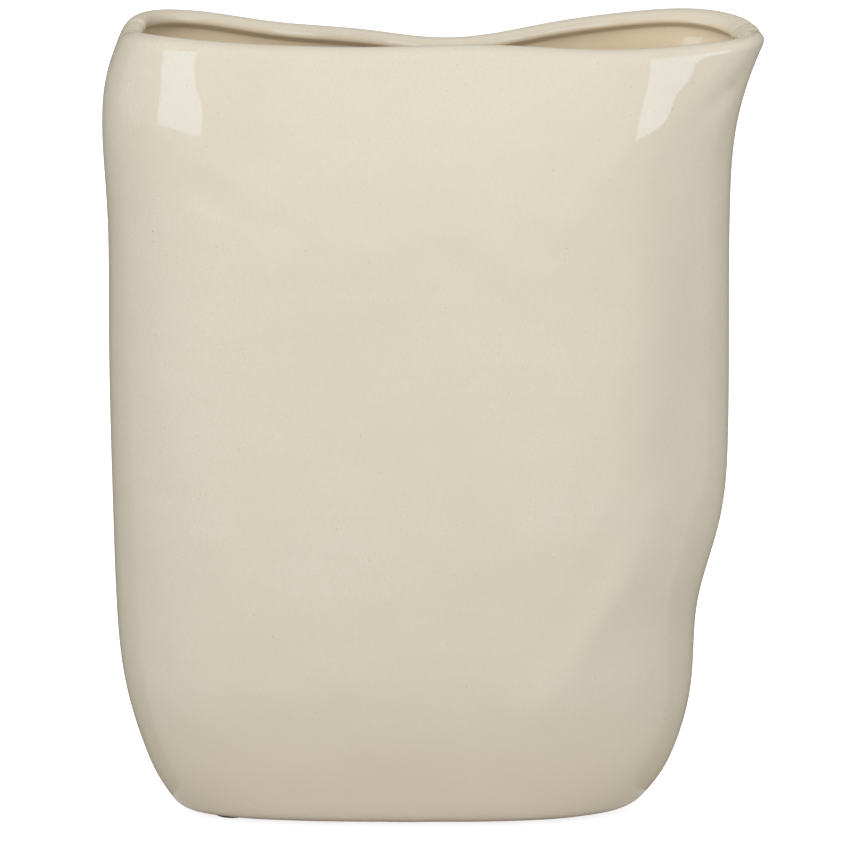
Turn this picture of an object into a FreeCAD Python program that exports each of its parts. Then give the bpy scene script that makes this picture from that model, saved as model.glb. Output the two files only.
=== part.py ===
import FreeCAD, Part
import math
import os

# A pillow vase: one hand-formed, glazed clay body with a pinched wavy rim, on four stick-on pads.
# X runs along the broad faces, Y runs from front to back and Z is up. The pads stand on Z = 0.

# Nominal overall size, standing on the pads. The presses and the uneven plan leave it about 1 mm smaller
overall_width = 270.0
overall_depth = 116.0
overall_height = 330.0

# Clay walls
wall_thickness = 6.5
lip_thickness = 9.4
lip_swell_height = 5.0
base_thickness = 9.0
foot_radius = 4.0
floor_radius = 12.0

# Depths of the rim's dips and of the presses made by hand
rim_dip = 8.4
pinch_depth = 36.0
rim_bow_depth = 4.0
panel_rise = 2.5
facet_depth = 5.0
fold_depth = 1.6
heel_press_depth = 4.0
thumb_depth = 1.2
back_hollow_depth = 3.0

# Stick-on pads
pad_diameter = 15.0
pad_height = 2.0
pad_edge_radius = 0.5
adhesive_diameter = 14.0
adhesive_thickness = 0.3

# Places of the pads, as shares of half the width and half the depth
pad_left_share = -0.615
pad_right_share = 0.396
pad_side_share = 0.302

# How the wall reaches out from the middle line at each height: height above the underside, then reach
# to the left, right, front and back, as shares of the body's height, half width and half depth
REACH_SHARES = (
    (0.000, 0.786, 0.625, 0.715, 0.715),
    (0.013, 0.808, 0.656, 0.745, 0.745),
    (0.036, 0.845, 0.702, 0.780, 0.800),
    (0.076, 0.888, 0.751, 0.835, 0.865),
    (0.155, 0.943, 0.798, 0.905, 0.955),
    (0.260, 0.970, 0.815, 0.935, 1.005),
    (0.365, 0.977, 0.880, 0.955, 1.030),
    (0.480, 0.982, 0.904, 0.957, 1.040),
    (0.620, 0.984, 0.903, 0.942, 1.030),
    (0.775, 0.986, 0.902, 0.892, 0.985),
    (0.880, 0.997, 0.922, 0.822, 0.930),
    (0.940, 0.980, 0.962, 0.764, 0.900),
    (1.000, 0.925, 1.021, 0.700, 0.880),
)

# How square the plan is at each height: height share, then the superellipse power at the left and right end
SQUARENESS_SHARES = (
    (0.000, 3.3, 2.8),
    (0.120, 3.1, 2.6),
    (0.600, 3.2, 2.5),
    (0.800, 3.3, 2.7),
    (1.000, 3.9, 3.5),
)

# Height of the rim around the plan: angle from the right end in degrees, counted over the back, then the
# dip below the highest point as a share of the deepest dip
RIM_SHARES = (
    (0, 0.50),
    (18, 0.50),
    (34, 0.24),
    (48, 0.06),
    (59, 0.26),
    (69, 0.51),
    (86, 1.00),
    (104, 0.80),
    (116, 0.77),
    (123, 0.58),
    (131, 0.26),
    (145, 0.00),
    (168, 0.14),
    (184, 0.38),
    (204, 0.26),
    (222, 0.23),
    (240, 0.46),
    (262, 0.55),
    (278, 0.51),
    (296, 0.70),
    (318, 0.58),
    (336, 0.42),
)

# Presses by hand: face (1 back, -1 front), depth, place across and up, width and height as shares of half
# the width and of the body's height, and tilt in degrees
PRESS_SHARES = (
    (1, pinch_depth, 0.05, 1.00, 0.42, 0.36, 0),
    (-1, rim_bow_depth, 0.22, 1.00, 0.26, 0.12, 0),
    (-1, facet_depth, 0.84, 0.55, 0.14, 0.34, 0),
    (-1, fold_depth, 0.91, 0.93, 0.12, 0.014, 38),
    (-1, heel_press_depth, 0.60, 0.14, 0.30, 0.14, 30),
    (-1, thumb_depth, -0.40, 0.12, 0.16, 0.07, 0),
    (-1, thumb_depth, 0.11, 0.13, 0.14, 0.07, 0),
    (1, back_hollow_depth, -0.30, 0.32, 0.40, 0.18, 20),
)
press_fade_share = 1.6

# The broad front panel that stands a little proud: its middle and half size as shares of half the width and
# of the body's height, and how squarely its edge falls off
panel_across_share = -0.095
panel_up_share = 0.60
panel_width_share = 0.76
panel_height_share = 0.46
panel_power = 6

# How finely the sections are laid
ring_points = 48
wall_rings = 14
lip_steps = 8
swell_steps = 3
foot_steps = 4
floor_steps = 4

half_width = overall_width / 2
half_depth = overall_depth / 2
underside = pad_height + adhesive_thickness
body_height = overall_height - underside
floor_level = underside + base_thickness
lip_height = lip_thickness / 2
quarter_turn = math.pi / 2


def vector(x, y, z):
    return FreeCAD.Vector(x, y, z)


def profile(rows, column):
    """Smooth curve of one column of a table over its first column."""
    points = [vector(row[0], row[column], 0) for row in rows]
    curve = Part.BSplineCurve()
    curve.interpolate(Points=points, Parameters=[row[0] for row in rows])
    return curve


def ring_profile(rows):
    """Closed smooth curve of a table's second column over a full turn."""
    angles = [row[0] for row in rows] + [rows[0][0] + 360]
    points = [vector(math.cos(math.radians(row[0])), math.sin(math.radians(row[0])), row[1]) for row in rows]
    curve = Part.BSplineCurve()
    curve.interpolate(Points=points, PeriodicFlag=True, Parameters=angles)
    return curve


reach_left = profile(REACH_SHARES, 1)
reach_right = profile(REACH_SHARES, 2)
reach_front = profile(REACH_SHARES, 3)
reach_back = profile(REACH_SHARES, 4)
square_left = profile(SQUARENESS_SHARES, 1)
square_right = profile(SQUARENESS_SHARES, 2)
rim_curve = ring_profile(RIM_SHARES)


def ease(value):
    """Smooth step from 0 to 1."""
    limited = min(max(value, 0.0), 1.0)
    return limited * limited * (3 - 2 * limited)


def rim_height(angle):
    """Height of the lip's crest in a direction seen from above."""
    return overall_height - rim_dip * max(rim_curve.value(math.degrees(angle)).z, 0)


def lip_base(angle):
    """Height at which the wall meets the rounded lip."""
    return rim_height(angle) - lip_height


def press_in(face, x, z):
    """How far all presses on one face push the wall in at a place."""
    pushed = 0
    for side, depth, across, up, width, height, tilt in PRESS_SHARES:
        if side == face:
            turn = math.radians(tilt)
            dx = x - across * half_width
            dz = z - underside - up * body_height
            along = (dx * math.cos(turn) + dz * math.sin(turn)) / (width * half_width)
            beside = (dz * math.cos(turn) - dx * math.sin(turn)) / (height * body_height)
            pushed += depth * math.exp(-along * along - beside * beside)
    return pushed


def panel_out(x, z):
    """How far the front panel stands out at a place."""
    across = (x / half_width - panel_across_share) / panel_width_share
    up = ((z - underside) / body_height - panel_up_share) / panel_height_share
    return panel_rise * math.exp(-abs(across) ** panel_power - abs(up) ** panel_power)


def wall_point(angle, z, inset):
    """Point of the wall in a direction and at a height, inset from the outer face."""
    share = min(max((z - underside) / body_height, 0), 1)
    across = math.cos(angle)
    along = math.sin(angle)
    to_right = ease((1 + across) / 2)
    left_power = square_left.value(share).y
    power = left_power + (square_right.value(share).y - left_power) * to_right
    radius = (abs(across) ** power + abs(along) ** power) ** (-1 / power)
    side_curve = reach_right if across > 0 else reach_left
    face_curve = reach_back if along > 0 else reach_front
    face = 1 if along > 0 else -1
    x = (half_width * side_curve.value(share).y - inset) * radius * across
    y = (half_depth * face_curve.value(share).y - inset) * radius * along
    fade = ease(abs(along) * press_fade_share)
    y -= face * press_in(face, x, z) * fade
    if face < 0:
        y -= panel_out(x, z) * fade
    return vector(x, y, z)


def ring(level, inset):
    """Closed section through the wall: level and inset are functions of the angle."""
    angles = [2 * math.pi * step / ring_points for step in range(ring_points)]
    curve = Part.BSplineCurve()
    curve.interpolate(
        Points=[wall_point(angle, level(angle), inset(angle)) for angle in angles],
        Parameters=angles + [2 * math.pi],
        PeriodicFlag=True,
    )
    return curve


def skin(rings):
    """Smooth closed surface through a stack of rings, spaced by the mean distance between them."""
    stacks = list(zip(*[curve.getPoles() for curve in rings]))
    places = [0.0]
    for step in range(1, len(rings)):
        gaps = [stack[step].distanceToPoint(stack[step - 1]) for stack in stacks]
        places.append(places[-1] + sum(gaps) / len(gaps))
    rails = []
    for stack in stacks:
        rail = Part.BSplineCurve()
        rail.interpolate(Points=list(stack), Parameters=places)
        rails.append(rail)
    surface = Part.BSplineSurface()
    surface.buildFromPolesMultsKnots(
        [rail.getPoles() for rail in rails],
        rings[0].getMultiplicities(), rails[0].getMultiplicities(),
        rings[0].getKnots(), rails[0].getKnots(),
        True, False, rings[0].Degree, rails[0].Degree,
    )
    return surface


def foot_rings():
    """Quarter round from the flat underside to the wall."""
    rings = []
    for step in range(foot_steps):
        turn = quarter_turn * step / foot_steps
        height = underside + foot_radius * (1 - math.cos(turn))
        inset = foot_radius * (1 - math.sin(turn))
        rings.append(ring(lambda angle: height, lambda angle: inset))
    return rings


def outer_rings():
    """Outer wall from the foot to the lip."""
    rings = []
    start = underside + foot_radius
    for step in range(wall_rings):
        share = step / wall_rings
        rings.append(ring(lambda angle: start + (lip_base(angle) - start) * share, lambda angle: 0))
    return rings


def lip_rings():
    """Half round lip over the top of the wall, from outside to inside."""
    rings = []
    for step in range(lip_steps + 1):
        turn = math.pi * step / lip_steps
        rise = lip_height * math.sin(turn)
        inset = lip_height * (1 - math.cos(turn))
        rings.append(ring(lambda angle: lip_base(angle) + rise, lambda angle: inset))
    return rings


def inner_rings():
    """Inner wall from the lip down to the rounded floor. The swell of the lip fades first."""
    rings = []
    end = floor_level + floor_radius
    for step in range(1, swell_steps + 1):
        share = step / swell_steps
        drop = lip_swell_height * share
        inset = wall_thickness + (lip_thickness - wall_thickness) * (1 - ease(share))
        rings.append(ring(lambda angle: lip_base(angle) - drop, lambda angle: inset))
    for step in range(1, wall_rings):
        share = step / wall_rings
        rings.append(
            ring(
                lambda angle: (lip_base(angle) - lip_swell_height) * (1 - share) + end * share,
                lambda angle: wall_thickness,
            )
        )
    return rings


def floor_rings():
    """Quarter round from the inner wall to the flat floor."""
    rings = []
    for step in range(floor_steps + 1):
        turn = quarter_turn * step / floor_steps
        height = floor_level + floor_radius * (1 - math.sin(turn))
        inset = wall_thickness + floor_radius * (1 - math.cos(turn))
        rings.append(ring(lambda angle: height, lambda angle: inset))
    return rings


def make_vase_body():
    """One skin over foot, wall, lip, inner wall and floor, closed by the flat underside and the flat floor."""
    side = skin(foot_rings() + outer_rings() + lip_rings() + inner_rings() + floor_rings()).toShape()
    ends = [edge for edge in side.Edges if edge.BoundBox.ZLength < foot_radius / 2]
    caps = [Part.Face(Part.Wire(edge)) for edge in ends]
    body = Part.Solid(Part.Shell([side] + caps))
    body.fix(0, 0, 0)
    return body


def pad_places():
    """Names and centres of the four pads."""
    columns = (("left", pad_left_share), ("right", pad_right_share))
    rows = (("front", -pad_side_share), ("back", pad_side_share))
    return [
        (row + "_" + column, across * half_width, along * half_depth)
        for row, along in rows
        for column, across in columns
    ]


def make_pad(x, y):
    """Round pad that stands on the table, its lower edge rounded."""
    pad = Part.makeCylinder(pad_diameter / 2, pad_height, vector(x, y, 0))
    lower_edge = [edge for edge in pad.Edges if edge.BoundBox.ZMax < pad_edge_radius / 2]
    return pad.makeFillet(pad_edge_radius, lower_edge).Solids[0]


def make_adhesive(x, y):
    """Thin self-adhesive disc between a pad and the clay."""
    return Part.makeCylinder(adhesive_diameter / 2, adhesive_thickness, vector(x, y, pad_height))


def make_parts():
    parts = {"vase_body": make_vase_body()}
    for place, x, y in pad_places():
        parts["foot_pad_" + place] = make_pad(x, y)
        parts["pad_adhesive_" + place] = make_adhesive(x, y)
    return parts


os.makedirs("parts", exist_ok=True)
for name, shape in make_parts().items():
    shape.exportStep("parts/" + name + ".step")
    box = shape.BoundBox
    print(name, shape.ShapeType, shape.isValid(), len(shape.Faces), round(shape.Volume),
          [round(value, 2) for value in (box.XMin, box.XMax, box.YMin, box.YMax, box.ZMin, box.ZMax)])
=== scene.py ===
import bpy
import math
import numpy as np
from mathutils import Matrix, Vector


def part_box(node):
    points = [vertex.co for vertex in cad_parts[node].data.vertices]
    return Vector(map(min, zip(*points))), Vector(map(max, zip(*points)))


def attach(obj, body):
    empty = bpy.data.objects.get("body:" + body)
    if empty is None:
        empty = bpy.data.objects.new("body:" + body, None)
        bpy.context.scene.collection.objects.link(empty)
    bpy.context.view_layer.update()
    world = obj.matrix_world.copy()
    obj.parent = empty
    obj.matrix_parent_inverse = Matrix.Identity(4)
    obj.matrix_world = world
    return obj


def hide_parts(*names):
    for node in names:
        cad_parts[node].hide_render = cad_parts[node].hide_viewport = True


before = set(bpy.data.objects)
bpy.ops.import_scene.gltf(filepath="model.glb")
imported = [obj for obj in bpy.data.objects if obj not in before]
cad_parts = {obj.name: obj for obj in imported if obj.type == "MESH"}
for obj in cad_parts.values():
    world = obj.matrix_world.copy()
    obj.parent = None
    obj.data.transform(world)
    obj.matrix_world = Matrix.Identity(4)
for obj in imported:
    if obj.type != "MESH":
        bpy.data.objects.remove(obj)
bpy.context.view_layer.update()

# Sizes of the clay body in metres, the same as in the part's own source
overall_width = 0.270
overall_depth = 0.116
overall_height = 0.330
wall_thickness = 0.0065
lip_thickness = 0.0094
foot_radius = 0.004
floor_radius = 0.012
base_thickness = 0.009
rim_dip = 0.0084
pinch_depth = 0.036
rim_bow_depth = 0.004
panel_rise = 0.0025
facet_depth = 0.005
fold_depth = 0.0016
heel_press_depth = 0.004
thumb_depth = 0.0012
back_hollow_depth = 0.003

# Height of the swelling under the lip, lower and so sharper than in the part's source
lip_swell_height = 0.003

# Height above the underside, then reach to the left, right, front and back, all as shares
REACH_SHARES = (
    (0.000, 0.786, 0.625, 0.715, 0.715),
    (0.013, 0.808, 0.656, 0.745, 0.745),
    (0.036, 0.845, 0.702, 0.780, 0.800),
    (0.076, 0.888, 0.751, 0.835, 0.865),
    (0.155, 0.943, 0.798, 0.905, 0.955),
    (0.260, 0.970, 0.815, 0.935, 1.005),
    (0.365, 0.977, 0.880, 0.955, 1.030),
    (0.480, 0.982, 0.904, 0.957, 1.040),
    (0.620, 0.984, 0.903, 0.942, 1.030),
    (0.775, 0.986, 0.902, 0.892, 0.985),
    (0.880, 0.997, 0.922, 0.822, 0.930),
    (0.940, 0.980, 0.962, 0.764, 0.900),
    (1.000, 0.925, 1.021, 0.700, 0.880),
)

# Height share, then the power of the superellipse at the left and right end
SQUARENESS_SHARES = (
    (0.000, 3.3, 2.8),
    (0.120, 3.1, 2.6),
    (0.600, 3.2, 2.5),
    (0.800, 3.3, 2.7),
    (1.000, 3.9, 3.5),
)

# Angle round the plan in degrees, then the dip of the rim as a share of the deepest dip
RIM_SHARES = (
    (0, 0.50),
    (18, 0.50),
    (34, 0.24),
    (48, 0.06),
    (59, 0.26),
    (69, 0.51),
    (86, 1.00),
    (104, 0.80),
    (116, 0.77),
    (123, 0.58),
    (131, 0.26),
    (145, 0.00),
    (168, 0.14),
    (184, 0.38),
    (204, 0.26),
    (222, 0.23),
    (240, 0.46),
    (262, 0.55),
    (278, 0.51),
    (296, 0.70),
    (318, 0.58),
    (336, 0.42),
)

# Face (1 back, -1 front), depth, place across and up, width and height as shares, tilt in degrees
PRESS_SHARES = (
    (1, pinch_depth, 0.05, 1.00, 0.42, 0.36, 0),
    (-1, rim_bow_depth, 0.22, 1.00, 0.26, 0.12, 0),
    (-1, facet_depth, 0.84, 0.55, 0.14, 0.34, 0),
    (-1, fold_depth, 0.91, 0.93, 0.12, 0.014, 38),
    (-1, heel_press_depth, 0.60, 0.14, 0.30, 0.14, 30),
    (-1, thumb_depth, -0.40, 0.12, 0.16, 0.07, 0),
    (-1, thumb_depth, 0.11, 0.13, 0.14, 0.07, 0),
    (1, back_hollow_depth, -0.30, 0.32, 0.40, 0.18, 20),
)
press_fade_share = 1.6

# The front panel that stands a little proud
panel_across_share = -0.095
panel_up_share = 0.60
panel_width_share = 0.76
panel_height_share = 0.46

# How sharply the panel ends, more so than in the part's source
panel_power = 12

# Points of the rim's table that are repeated past each end, so that its curve closes smoothly
rim_overlap = 4

# Fineness of the mesh, and where on it the inside's lighter, warmer colour, painted bounce light, starts
ring_points = 360
foot_rows = 6
wall_rows = 150
lip_rows = 16
swell_rows = 6
inner_rows = 70
floor_rows = 10
cap_rows = 5
inside_early_rows = 3
inside_blend_rows = 5

# Slight waves that hands leave in soft clay: height and length in metres, direction and start in degrees
HAND_WAVES = (
    (0.00009, 0.029, 20, 40),
    (0.00008, 0.034, 105, 200),
    (0.00005, 0.023, 62, 310),
    (0.00004, 0.018, 150, 90),
)

# Dents and swellings that hands leave on the front, at the top, then on the panel's and the facet's edges
right_dent_depth = 0.0012
right_swell_height = 0.0011
left_dent_depth = 0.0004
panel_swell_height = 0.0014
facet_ridge_height = 0.0015

# Their places, sizes and tilts in the columns of the presses. A swelling presses outwards
HAND_DENT_SHARES = (
    (-1, right_dent_depth, 0.84, 0.985, 0.14, 0.045, 0),
    (-1, -right_swell_height, 0.67, 0.880, 0.14, 0.038, 30),
    (-1, left_dent_depth, -0.64, 0.800, 0.06, 0.030, 0),
    (-1, -panel_swell_height, 0.42, 0.170, 0.26, 0.075, 20),
    (-1, -facet_ridge_height, 0.54, 0.290, 0.32, 0.025, 59),
)

# Creases that fold across the lip: angle round the plan in degrees, depth in metres, width in degrees
LIP_CREASES = (
    (168, 0.0010, 1.8),
    (11, 0.0006, 2.0),
    (24, 0.0005, 1.6),
)

# Glaze: its gloss, and the heights between which its colour turns darker and warmer towards the foot
glaze_roughness = 0.05
glaze_ior = 1.42
foot_band_roughness = 0.7
lower_darkening_low = 0.004
lower_darkening_high = 0.075

# Heights over the underside, in foot radii, between which the rough band of painted shade round the foot
# gives way to the glaze
foot_band_low_share = 0.2
foot_band_high_share = 0.7

# Patches of noise in the glaze: scale, detail, and the noise values where a patch starts and is full
CLOUDS = (16.0, 3.0, 0.35, 0.65)
STROKES = (18.0, 3.0, 0.35, 0.70)
GRAIN = (1400.0, 2.0, 0.30, 0.70)
stroke_flattening = 9.0

# Specks in the glaze: cells to the metre, size in a cell, share of the cells that hold one
DARK_SPECKS = (230.0, 0.075, 0.35)
BROWN_SPECKS = (26.0, 0.018, 0.12)

# Part of a speck's size within which it is full
speck_core_share = 0.5

# How much each layer colours the glaze
stroke_share = 0.12
grain_share = 0.6
dark_speck_share = 0.45
brown_speck_share = 0.7

# Colours of the glaze, with painted bounce light inside and painted shade round the foot
cream_dark = (0.690, 0.632, 0.508, 1)
cream_light = (0.712, 0.658, 0.536, 1)
cream_shade = (0.655, 0.590, 0.468, 1)
# Darker and warmer towards the foot
darker_lower_cream = (0.640, 0.565, 0.440, 1)
# Lighter, warmer colour inside the mouth: painted bounce light
painted_bounce_cream = (0.780, 0.665, 0.485, 1)
dark_speck = (0.30, 0.25, 0.17, 1)
brown_speck = (0.34, 0.21, 0.10, 1)
# Pinkish-brown on the downturned foot: painted shade
painted_foot_shade = (0.48, 0.38, 0.31, 1)

# Pads and films: colour, roughness, scale of the grain and its depth in metres
RUBBER = ((0.030, 0.030, 0.034), 0.75, 900.0, 0.0002)
FILM = ((0.60, 0.58, 0.52), 0.4, 500.0, 0.00005)
grain_detail = 4.0
grain_dark_share = 0.75

# Stage: the floor, how far it is lifted to white for the camera and in reflections, and the even light
floor_reach = 6.0
floor_lift = 0.84
mirrored_lift = 0.24
world_light = 0.36
white = (1.0, 1.0, 1.0, 1)

# Floor, screen and lamp cloths: the scale of the noise in them, then their darker and lighter tone
FLOOR_TONES = (2.0, (0.68, 0.68, 0.68, 1), (0.70, 0.70, 0.70, 1))
SCREEN_TONES = (30.0, (0.33, 0.28, 0.23, 1), (0.39, 0.34, 0.28, 1))
LAMP_CLOTH_TONES = (3.0, (0.63, 0.79, 0.99, 1), (0.65, 0.81, 1.0, 1))
tone_detail = 2.0
matte_roughness = 0.9

# Dark screen round the back and sides: its height, fading edge, smaller foot, lift off the floor, and plan
screen_height = 0.60
screen_fade = 0.16
screen_foot_share = 0.62
screen_edge_lift = 0.0005
SCREEN_PLAN = ((-0.46, -0.02), (-0.16, 0.075), (0.0, 0.10), (0.16, 0.075), (0.46, -0.02))

# Inner edge of the screen's part that lies on the floor, close round the foot
SCREEN_EDGE = ((-0.12, -0.03), (-0.10, 0.045), (0.0, 0.06), (0.085, 0.045), (0.10, -0.03))

# Lamps: turn from straight ahead and lift in degrees, then distance, width, height and brightness
lamp_aim = Vector((0.0, 0.0, 0.30))
LAMPS = (
    ("left_box", -38.5, 16, 1.8, 0.72, 0.95, 3.4),
    ("right_box", 43, 11.5, 1.8, 0.68, 0.90, 3.1),
    ("front_box", 0, 45, 1.4, 1.2, 0.7, 3.55),
    ("back_box", 180, 25, 2.0, 1.6, 1.0, 2.7),
)

# Lamps whose front cloth shows in the glaze, and its brightness
CLOTH_LAMPS = ("left_box", "right_box")
cloth_brightness = 4.2

# Camera of the photograph: its distance and lift from the aim point, and its lens, the sensor in millimetres
camera_distance = 2.450
camera_elevation = math.radians(12.5)
camera_aim = Vector((-0.0035, 0.0, 0.1620))
picture_size = 848
metres_per_pixel = 0.000413
sensor_width = 36.0

half_width = overall_width / 2
half_depth = overall_depth / 2
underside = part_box("vase_body")[0][2]
body_height = overall_height - underside
floor_level = underside + base_thickness
lip_height = lip_thickness / 2


def ease(value):
    """Smooth step from 0 to 1."""
    limited = np.clip(value, 0.0, 1.0)
    return limited * limited * (3 - 2 * limited)


def profile(rows, column):
    """Smooth curve, a cubic spline, of one column of a table over its first column."""
    places = np.array([row[0] for row in rows], float)
    values = np.array([row[column] for row in rows], float)
    gaps = np.diff(places)
    slopes = np.diff(values) / gaps
    count = len(places)
    system = np.eye(count)
    target = np.zeros(count)
    for row in range(1, count - 1):
        system[row, row - 1:row + 2] = gaps[row - 1], 2 * (gaps[row - 1] + gaps[row]), gaps[row]
        target[row] = 6 * (slopes[row] - slopes[row - 1])
    bends = np.linalg.solve(system, target)

    def curve(at):
        at = np.clip(at, places[0], places[-1])
        span = np.clip(np.searchsorted(places, at) - 1, 0, count - 2)
        gap = gaps[span]
        before = at - places[span]
        after = places[span + 1] - at
        cubic = (bends[span] * after ** 3 + bends[span + 1] * before ** 3) / (6 * gap)
        start = values[span] / gap - bends[span] * gap / 6
        end = values[span + 1] / gap - bends[span + 1] * gap / 6
        return cubic + start * after + end * before

    return curve


def ring_profile(rows):
    """Smooth closed curve of a table's second column over a full turn of degrees."""
    before = [(angle - 360, value) for angle, value in rows[-rim_overlap:]]
    after = [(angle + 360, value) for angle, value in rows[:rim_overlap]]
    return profile(before + list(rows) + after, 1)


reach_left = profile(REACH_SHARES, 1)
reach_right = profile(REACH_SHARES, 2)
reach_front = profile(REACH_SHARES, 3)
reach_back = profile(REACH_SHARES, 4)
square_left = profile(SQUARENESS_SHARES, 1)
square_right = profile(SQUARENESS_SHARES, 2)
rim_curve = ring_profile(RIM_SHARES)


def rim_height(angle):
    """Height of the lip's crest in a direction seen from above."""
    degrees = np.degrees(angle)
    creased = sum(depth * np.exp(-((degrees - place) / width) ** 2) for place, depth, width in LIP_CREASES)
    return overall_height - rim_dip * np.maximum(rim_curve(degrees), 0) - creased


def press_in(face, x, z):
    """How far all presses and dents on one face push the wall in at a place."""
    pushed = np.zeros(np.broadcast(x, z).shape)
    for side, depth, across, up, width, height, tilt in PRESS_SHARES + HAND_DENT_SHARES:
        turn = math.radians(tilt)
        dx = x - across * half_width
        dz = z - underside - up * body_height
        along = (dx * math.cos(turn) + dz * math.sin(turn)) / (width * half_width)
        beside = (dz * math.cos(turn) - dx * math.sin(turn)) / (height * body_height)
        pushed += np.where(face == side, depth * np.exp(-along ** 2 - beside ** 2), 0)
    return pushed


def panel_out(x, z):
    """How far the front panel stands out at a place."""
    across = (x / half_width - panel_across_share) / panel_width_share
    up = ((z - underside) / body_height - panel_up_share) / panel_height_share
    return panel_rise * np.exp(-np.abs(across) ** panel_power - np.abs(up) ** panel_power)


def hand_waves(x, z):
    """How far the slight unevenness moves the wall at a place."""
    moved = 0
    for height, length, direction, start in HAND_WAVES:
        turn = math.radians(direction)
        along = (x * math.cos(turn) + z * math.sin(turn)) / length
        moved = moved + height * np.sin(2 * math.pi * along + math.radians(start))
    return moved


def wall_points(angle, z, inset):
    """Points of the wall in directions and at heights, inset from the outer face."""
    share = np.clip((z - underside) / body_height, 0, 1)
    across = np.cos(angle)
    along = np.sin(angle)
    left_power = square_left(share)
    power = left_power + (square_right(share) - left_power) * ease((1 + across) / 2)
    radius = (np.abs(across) ** power + np.abs(along) ** power) ** (-1 / power)
    side_reach = np.where(across > 0, reach_right(share), reach_left(share))
    face_reach = np.where(along > 0, reach_back(share), reach_front(share))
    face = np.where(along > 0, 1, -1)
    x = (half_width * side_reach - inset) * radius * across
    y = (half_depth * face_reach - inset) * radius * along
    fade = ease(np.abs(along) * press_fade_share)
    y = y - face * press_in(face, x, z) * fade
    y = y - np.where(face < 0, panel_out(x, z) * fade, 0)
    y = y + hand_waves(x, z) * fade
    return np.stack(np.broadcast_arrays(x, y, z), axis=-1)


def body_rows():
    """Rows of points from the underside's edge up the wall, over the lip and down inside to the floor."""
    angle = np.linspace(0, 2 * math.pi, ring_points, endpoint=False)
    crest = rim_height(angle)
    lip_base = crest - lip_height
    flat = np.zeros(ring_points)
    rows = []
    for step in range(foot_rows):
        turn = math.pi / 2 * step / foot_rows
        rise = foot_radius * (1 - math.cos(turn))
        rows.append(wall_points(angle, flat + underside + rise, foot_radius * (1 - math.sin(turn))))
    start = underside + foot_radius
    for step in range(wall_rows):
        share = step / wall_rows
        rows.append(wall_points(angle, start + (lip_base - start) * share, 0))
    for step in range(lip_rows + 1):
        turn = math.pi * step / lip_rows
        rise = lip_height * math.sin(turn)
        rows.append(wall_points(angle, lip_base + rise, lip_height * (1 - math.cos(turn))))
    for step in range(1, swell_rows + 1):
        share = step / swell_rows
        inset = wall_thickness + (lip_thickness - wall_thickness) * (1 - ease(share))
        rows.append(wall_points(angle, lip_base - lip_swell_height * share, inset))
    top = lip_base - lip_swell_height
    end = floor_level + floor_radius
    for step in range(1, inner_rows):
        share = step / inner_rows
        rows.append(wall_points(angle, top + (end - top) * share, wall_thickness))
    for step in range(floor_rows + 1):
        turn = math.pi / 2 * step / floor_rows
        height = floor_level + floor_radius * (1 - math.sin(turn))
        inset = wall_thickness + floor_radius * (1 - math.cos(turn))
        rows.append(wall_points(angle, flat + height, inset))
    return rows


def cap(ring, inwards):
    """Rows that close a flat ring towards its middle, the middle point last."""
    middle = ring.mean(axis=0)
    rows = [middle + (ring - middle) * (1 - step / cap_rows) for step in range(1, cap_rows)]
    return rows if inwards else rows[::-1], middle


def add_object(name, data):
    """New object in the scene, made from a mesh, a light or a camera."""
    item = bpy.data.objects.new(name, data)
    bpy.context.scene.collection.objects.link(item)
    return item


def add_mesh(name, points, faces):
    """New object in the scene with a mesh of its own."""
    mesh = bpy.data.meshes.new(name)
    mesh.from_pydata(points, [], faces)
    return add_object(name, mesh)


def build_mesh(name, rows, first_point, last_point):
    """Closed smooth mesh through rings of points, with a fan at each end."""
    points = np.concatenate([[first_point]] + rows + [[last_point]])
    count = len(rows[0])
    faces = []
    for step in range(count):
        faces.append((0, 1 + (step + 1) % count, 1 + step))
    for row in range(len(rows) - 1):
        low = 1 + row * count
        high = low + count
        for step in range(count):
            after = (step + 1) % count
            faces.append((low + step, low + after, high + after, high + step))
    low = 1 + (len(rows) - 1) * count
    last = len(points) - 1
    for step in range(count):
        faces.append((low + step, low + (step + 1) % count, last))
    piece = add_mesh(name, points.tolist(), faces)
    piece.data.polygons.foreach_set("use_smooth", [True] * len(faces))
    piece.data.update()
    return piece


def make_body():
    """The clay body. An attribute tells its inside, from 0 on the lip to 1, where the glaze gets painted
    bounce light.
    """
    rows = body_rows()
    under, under_middle = cap(rows[0], False)
    floor, floor_middle = cap(rows[-1], True)
    stack = under + rows + floor
    piece = build_mesh("clay_body", stack, under_middle, floor_middle)
    inside_start = len(under) + foot_rows + wall_rows + lip_rows - inside_early_rows
    row_of_point = np.repeat(np.arange(len(stack)), ring_points)
    row_of_point = np.concatenate([[0], row_of_point, [len(stack)]])
    # Share of the painted bounce light, growing from the lip down the inside
    inside = ease((row_of_point - inside_start) / inside_blend_rows)
    layer = piece.data.attributes.new("inside", "FLOAT", "POINT")
    layer.data.foreach_set("value", inside.astype(np.float32))
    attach(piece, "root")
    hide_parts("vase_body")
    piece.data.materials.append(glaze_material())


def new_material(name):
    """New material with its nodes, its links and its shader."""
    material = bpy.data.materials.new(name)
    material.use_nodes = True
    nodes = material.node_tree.nodes
    return material, nodes, material.node_tree.links, nodes["Principled BSDF"]


def position(nodes):
    """Place of the shaded point in metres."""
    return nodes.new("ShaderNodeNewGeometry").outputs["Position"]


def split_axes(nodes, links, place):
    """The X, Y and Z of a place."""
    split = nodes.new("ShaderNodeSeparateXYZ")
    links.new(place, split.inputs[0])
    return split.outputs


def feed(links, value, socket):
    """Gives a socket a number or a colour, or links it to the output of another node."""
    if isinstance(value, bpy.types.NodeSocket):
        links.new(value, socket)
    else:
        socket.default_value = value


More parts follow.
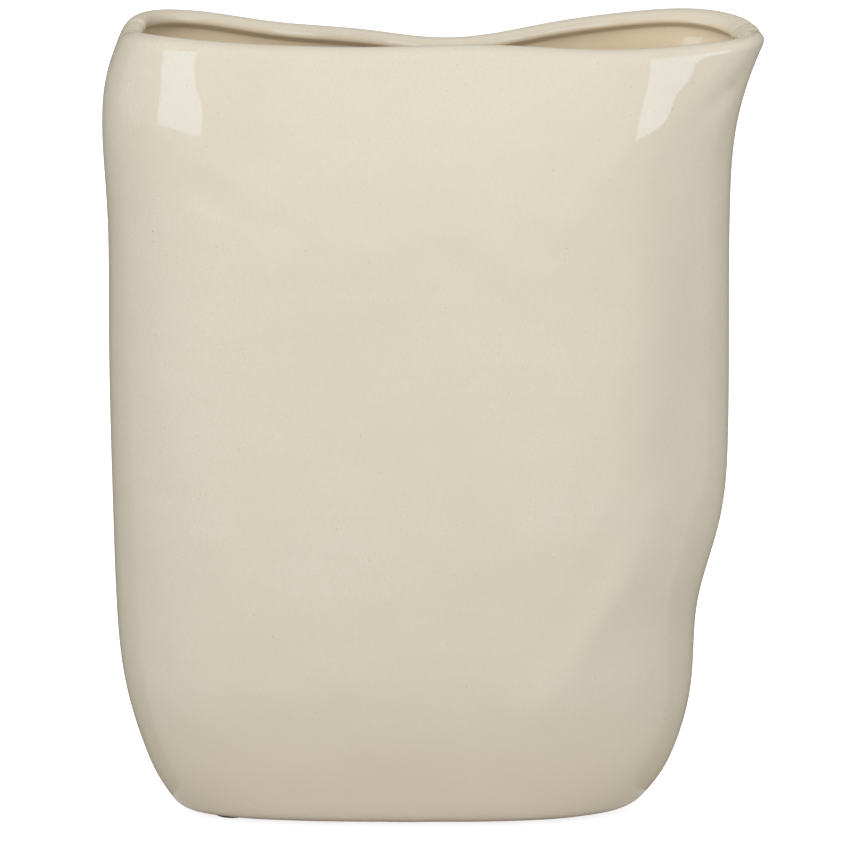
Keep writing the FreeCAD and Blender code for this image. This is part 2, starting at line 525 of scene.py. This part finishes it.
def combine(nodes, links, operation, *values):
    """Result of a calculation. Each value is a number or the output of another node."""
    node = nodes.new("ShaderNodeMath")
    node.operation = operation
    for value, socket in zip(values, node.inputs):
        feed(links, value, socket)
    return node.outputs[0]


def mix(nodes, links, share, first, second):
    """Mix of two colours. The node's sockets 6 and 7 and its output 2 are the ones for colours."""
    node = nodes.new("ShaderNodeMix")
    node.data_type = "RGBA"
    feed(links, share, node.inputs[0])
    feed(links, first, node.inputs[6])
    feed(links, second, node.inputs[7])
    return node.outputs[2]


def ramp(nodes, links, source, low, high, low_value=0.0, high_value=1.0):
    """Smooth step from one value to another while the source goes from low to high."""
    node = nodes.new("ShaderNodeMapRange")
    node.interpolation_type = "SMOOTHSTEP"
    node.inputs["From Min"].default_value = low
    node.inputs["From Max"].default_value = high
    node.inputs["To Min"].default_value = low_value
    node.inputs["To Max"].default_value = high_value
    links.new(source, node.inputs["Value"])
    return node.outputs["Result"]


def noise(nodes, links, place, scale, detail):
    """Cloudy noise, mostly between 0.3 and 0.7."""
    node = nodes.new("ShaderNodeTexNoise")
    node.inputs["Scale"].default_value = scale
    node.inputs["Detail"].default_value = detail
    links.new(place, node.inputs["Vector"])
    return node.outputs["Fac"]


def patches(nodes, links, place, layer):
    """Soft patches from 0 to 1, as the values of a layer of the glaze tell."""
    scale, detail, low, high = layer
    return ramp(nodes, links, noise(nodes, links, place, scale, detail), low, high)


def specks(nodes, links, place, layer):
    """Small round specks, 1 on a speck and 0 elsewhere. Only a share of the cells holds one."""
    scale, size, share = layer
    cell = nodes.new("ShaderNodeTexVoronoi")
    cell.inputs["Scale"].default_value = scale
    links.new(place, cell.inputs["Vector"])
    near = ramp(nodes, links, cell.outputs["Distance"], size * speck_core_share, size, 1.0, 0.0)
    split = nodes.new("ShaderNodeSeparateColor")
    links.new(cell.outputs["Color"], split.inputs["Color"])
    chosen = combine(nodes, links, "LESS_THAN", split.outputs["Red"], share)
    return combine(nodes, links, "MULTIPLY", near, chosen)


def tinted(nodes, links, colour, layer, share, tint):
    """A colour with a layer of another colour over it, which covers it by a share at most."""
    return mix(nodes, links, combine(nodes, links, "MULTIPLY", layer, share), colour, tint)


def toned(nodes, links, place, tones):
    """Cloudy mix of the two tones of the floor or a cloth."""
    scale, darker, lighter = tones
    return mix(nodes, links, noise(nodes, links, place, scale, tone_detail), darker, lighter)


def glaze_material():
    """Glossy cream glaze with clouds, level strokes, grain and specks, lighter and warmer inside as painted
    bounce light, darker and warmer towards the foot, and a rough band of painted shade round the foot.
    """
    material, nodes, links, shader = new_material("cream_glaze")
    place = position(nodes)
    height = split_axes(nodes, links, place)["Z"]
    flattened = nodes.new("ShaderNodeMapping")
    flattened.inputs["Scale"].default_value = (1.0, 1.0, stroke_flattening)
    links.new(place, flattened.inputs["Vector"])
    strokes = patches(nodes, links, flattened.outputs[0], STROKES)
    grain = patches(nodes, links, place, GRAIN)
    lower_darkening = ramp(nodes, links, height, lower_darkening_low, lower_darkening_high, 1.0, 0.0)
    inside = nodes.new("ShaderNodeAttribute")
    inside.attribute_name = "inside"
    dark = specks(nodes, links, place, DARK_SPECKS)
    brown = specks(nodes, links, place, BROWN_SPECKS)
    foot_band_low = underside + foot_radius * foot_band_low_share
    foot_band_high = underside + foot_radius * foot_band_high_share
    foot_band = ramp(nodes, links, height, foot_band_low, foot_band_high, 1.0, 0.0)
    colour = mix(nodes, links, patches(nodes, links, place, CLOUDS), cream_dark, cream_light)
    colour = tinted(nodes, links, colour, strokes, stroke_share, cream_shade)
    colour = tinted(nodes, links, colour, grain, grain_share, cream_shade)
    # Darker and warmer towards the foot
    colour = mix(nodes, links, lower_darkening, colour, darker_lower_cream)
    # Painted bounce light: the inside turns lighter and warmer
    colour = mix(nodes, links, inside.outputs["Fac"], colour, painted_bounce_cream)
    colour = tinted(nodes, links, colour, dark, dark_speck_share, dark_speck)
    colour = tinted(nodes, links, colour, brown, brown_speck_share, brown_speck)
    # Painted shade on the downturned foot, in a band that is also rough
    colour = mix(nodes, links, foot_band, colour, painted_foot_shade)
    links.new(colour, shader.inputs["Base Color"])
    gloss = ramp(nodes, links, foot_band, 0.0, 1.0, glaze_roughness, foot_band_roughness)
    links.new(gloss, shader.inputs["Roughness"])
    shader.inputs["IOR"].default_value = glaze_ior
    return material


def plain_material(name, colour, roughness, grain_scale, grain_depth):
    """Even material with a fine grain in colour and bump."""
    material, nodes, links, shader = new_material(name)
    grain = noise(nodes, links, position(nodes), grain_scale, grain_detail)
    darker = tuple(channel * grain_dark_share for channel in colour) + (1,)
    links.new(mix(nodes, links, grain, darker, colour + (1,)), shader.inputs["Base Color"])
    shader.inputs["Roughness"].default_value = roughness
    bump = nodes.new("ShaderNodeBump")
    bump.inputs["Distance"].default_value = grain_depth
    links.new(grain, bump.inputs["Height"])
    links.new(bump.outputs["Normal"], shader.inputs["Normal"])
    return material


def dress_node(name, material):
    """A CAD node keeps its shape and gets a better material."""
    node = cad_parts[name]
    node.data.materials.clear()
    node.data.materials.append(material)


def dress_pads():
    """Rubber on the four pads and film on the disc over each of them."""
    rubber = plain_material("pad_rubber", *RUBBER)
    film = plain_material("pad_adhesive", *FILM)
    for row in ("front", "back"):
        for column in ("left", "right"):
            dress_node("foot_pad_" + row + "_" + column, rubber)
            dress_node("pad_adhesive_" + row + "_" + column, film)


def flat_panel(name, corners, material):
    """Four-cornered panel of the stage."""
    panel = add_mesh(name, corners, [(0, 1, 2, 3)])
    panel.data.materials.append(material)
    return panel


def seen_in_reflections_alone(item):
    """Neither the camera nor the light that falls on things meets the item."""
    item.visible_camera = False
    item.visible_diffuse = False
    item.visible_shadow = False


def floor_material():
    """Pale matte floor. Seen directly it is lifted to white, and keeps the object's soft shadow."""
    material, nodes, links, shader = new_material("pale_floor")
    links.new(toned(nodes, links, position(nodes), FLOOR_TONES), shader.inputs["Base Color"])
    shader.inputs["Roughness"].default_value = matte_roughness
    shader.inputs["Specular IOR Level"].default_value = 0.0
    shader.inputs["Emission Color"].default_value = white
    path = nodes.new("ShaderNodeLightPath").outputs
    mirrored = combine(nodes, links, "MAXIMUM", path["Is Glossy Ray"], path["Is Transmission Ray"])
    direct_part = combine(nodes, links, "MULTIPLY", path["Is Camera Ray"], floor_lift)
    mirrored_part = combine(nodes, links, "MULTIPLY", mirrored, mirrored_lift)
    lift = combine(nodes, links, "ADD", direct_part, mirrored_part)
    links.new(lift, shader.inputs["Emission Strength"])
    return material


def make_floor():
    """Wide level floor under the vase."""
    reach = floor_reach
    corners = [(-reach, -reach, 0), (reach, -reach, 0), (reach, reach, 0), (-reach, reach, 0)]
    flat_panel("floor", corners, floor_material())


def screen_material():
    """Dark cloth that thins out towards its ends and its top."""
    material, nodes, links, shader = new_material("dark_cloth")
    place = position(nodes)
    axes = split_axes(nodes, links, place)
    links.new(toned(nodes, links, place, SCREEN_TONES), shader.inputs["Base Color"])
    shader.inputs["Roughness"].default_value = matte_roughness
    side = combine(nodes, links, "ABSOLUTE", axes["X"])
    reach = SCREEN_PLAN[-1][0]
    front = ramp(nodes, links, side, reach - screen_fade, reach, 1.0, 0.0)
    top = ramp(nodes, links, axes["Z"], screen_height - screen_fade, screen_height, 1.0, 0.0)
    links.new(combine(nodes, links, "MULTIPLY", front, top), shader.inputs["Alpha"])
    return material


def make_screen():
    """Dark screen seen only in reflections. It gives the pale vase its darker edges."""
    points = [(x, y, screen_edge_lift) for x, y in SCREEN_EDGE]
    points += [(x * screen_foot_share, y * screen_foot_share, screen_edge_lift) for x, y in SCREEN_PLAN]
    points += [(x, y, screen_height) for x, y in SCREEN_PLAN]
    count = len(SCREEN_PLAN)
    starts = [row * count + step for row in (0, 1) for step in range(count - 1)]
    faces = [(start, start + 1, start + count + 1, start + count) for start in starts]
    screen = add_mesh("screen", points, faces)
    screen.data.materials.append(screen_material())
    seen_in_reflections_alone(screen)


def make_world():
    """Dim even light all round, white where it is seen directly, mirrored or through things."""
    world = bpy.data.worlds.new("studio")
    bpy.context.scene.world = world
    world.use_nodes = True
    nodes = world.node_tree.nodes
    links = world.node_tree.links
    path = nodes.new("ShaderNodeLightPath").outputs
    direct = combine(nodes, links, "MAXIMUM", path["Is Camera Ray"], path["Is Glossy Ray"])
    direct = combine(nodes, links, "MAXIMUM", direct, path["Is Transmission Ray"])
    strength = ramp(nodes, links, direct, 0.0, 1.0, world_light, 1.0)
    links.new(strength, nodes["Background"].inputs["Strength"])
    nodes["Background"].inputs["Color"].default_value = white


def cloth_material(name):
    """Cool white cloth that glows."""
    material, nodes, links, shader = new_material(name)
    tone = toned(nodes, links, position(nodes), LAMP_CLOTH_TONES)
    links.new(tone, shader.inputs["Base Color"])
    links.new(tone, shader.inputs["Emission Color"])
    shader.inputs["Emission Strength"].default_value = cloth_brightness
    return material


def lamp_cloth(lamp, width, height):
    """Front cloth of a lamp. Only reflections see it, and the lamp behind it gives the light."""
    x = width / 2
    y = height / 2
    name = lamp.name + "_cloth"
    cloth = flat_panel(name, [(-x, -y, 0), (x, -y, 0), (x, y, 0), (-x, y, 0)], cloth_material(name))
    cloth.location = lamp.location
    cloth.rotation_euler = lamp.rotation_euler
    seen_in_reflections_alone(cloth)


def softbox(name, turn, lift, distance, width, height, brightness):
    """Area lamp at a turn from straight ahead and a lift over the aim point, both in degrees."""
    turn = math.radians(turn)
    lift = math.radians(lift)
    way = Vector((math.sin(turn) * math.cos(lift), -math.cos(turn) * math.cos(lift), math.sin(lift)))
    light = bpy.data.lights.new(name, "AREA")
    light.shape = "RECTANGLE"
    light.size = width
    light.size_y = height
    light.energy = brightness * math.pi * width * height
    lamp = add_object(name, light)
    lamp.location = lamp_aim + way * distance
    lamp.rotation_euler = (-way).to_track_quat("-Z", "Y").to_euler()
    lamp.visible_glossy = False
    if name in CLOTH_LAMPS:
        lamp_cloth(lamp, width, height)


def make_camera():
    """The photograph's camera, which looks a little down at the vase's front."""
    data = bpy.data.cameras.new("camera")
    data.sensor_width = sensor_width
    data.lens = camera_distance / metres_per_pixel * sensor_width / picture_size
    camera = add_object("camera", data)
    back = Vector((0.0, -math.cos(camera_elevation), math.sin(camera_elevation)))
    camera.location = camera_aim + back * camera_distance
    camera.rotation_euler = (-back).to_track_quat("-Z", "Y").to_euler()
    bpy.context.scene.camera = camera


make_body()
dress_pads()
make_floor()
make_screen()
make_world()
for lamp in LAMPS:
    softbox(*lamp)
make_camera()
bpy.context.scene.view_settings.view_transform = "Standard"
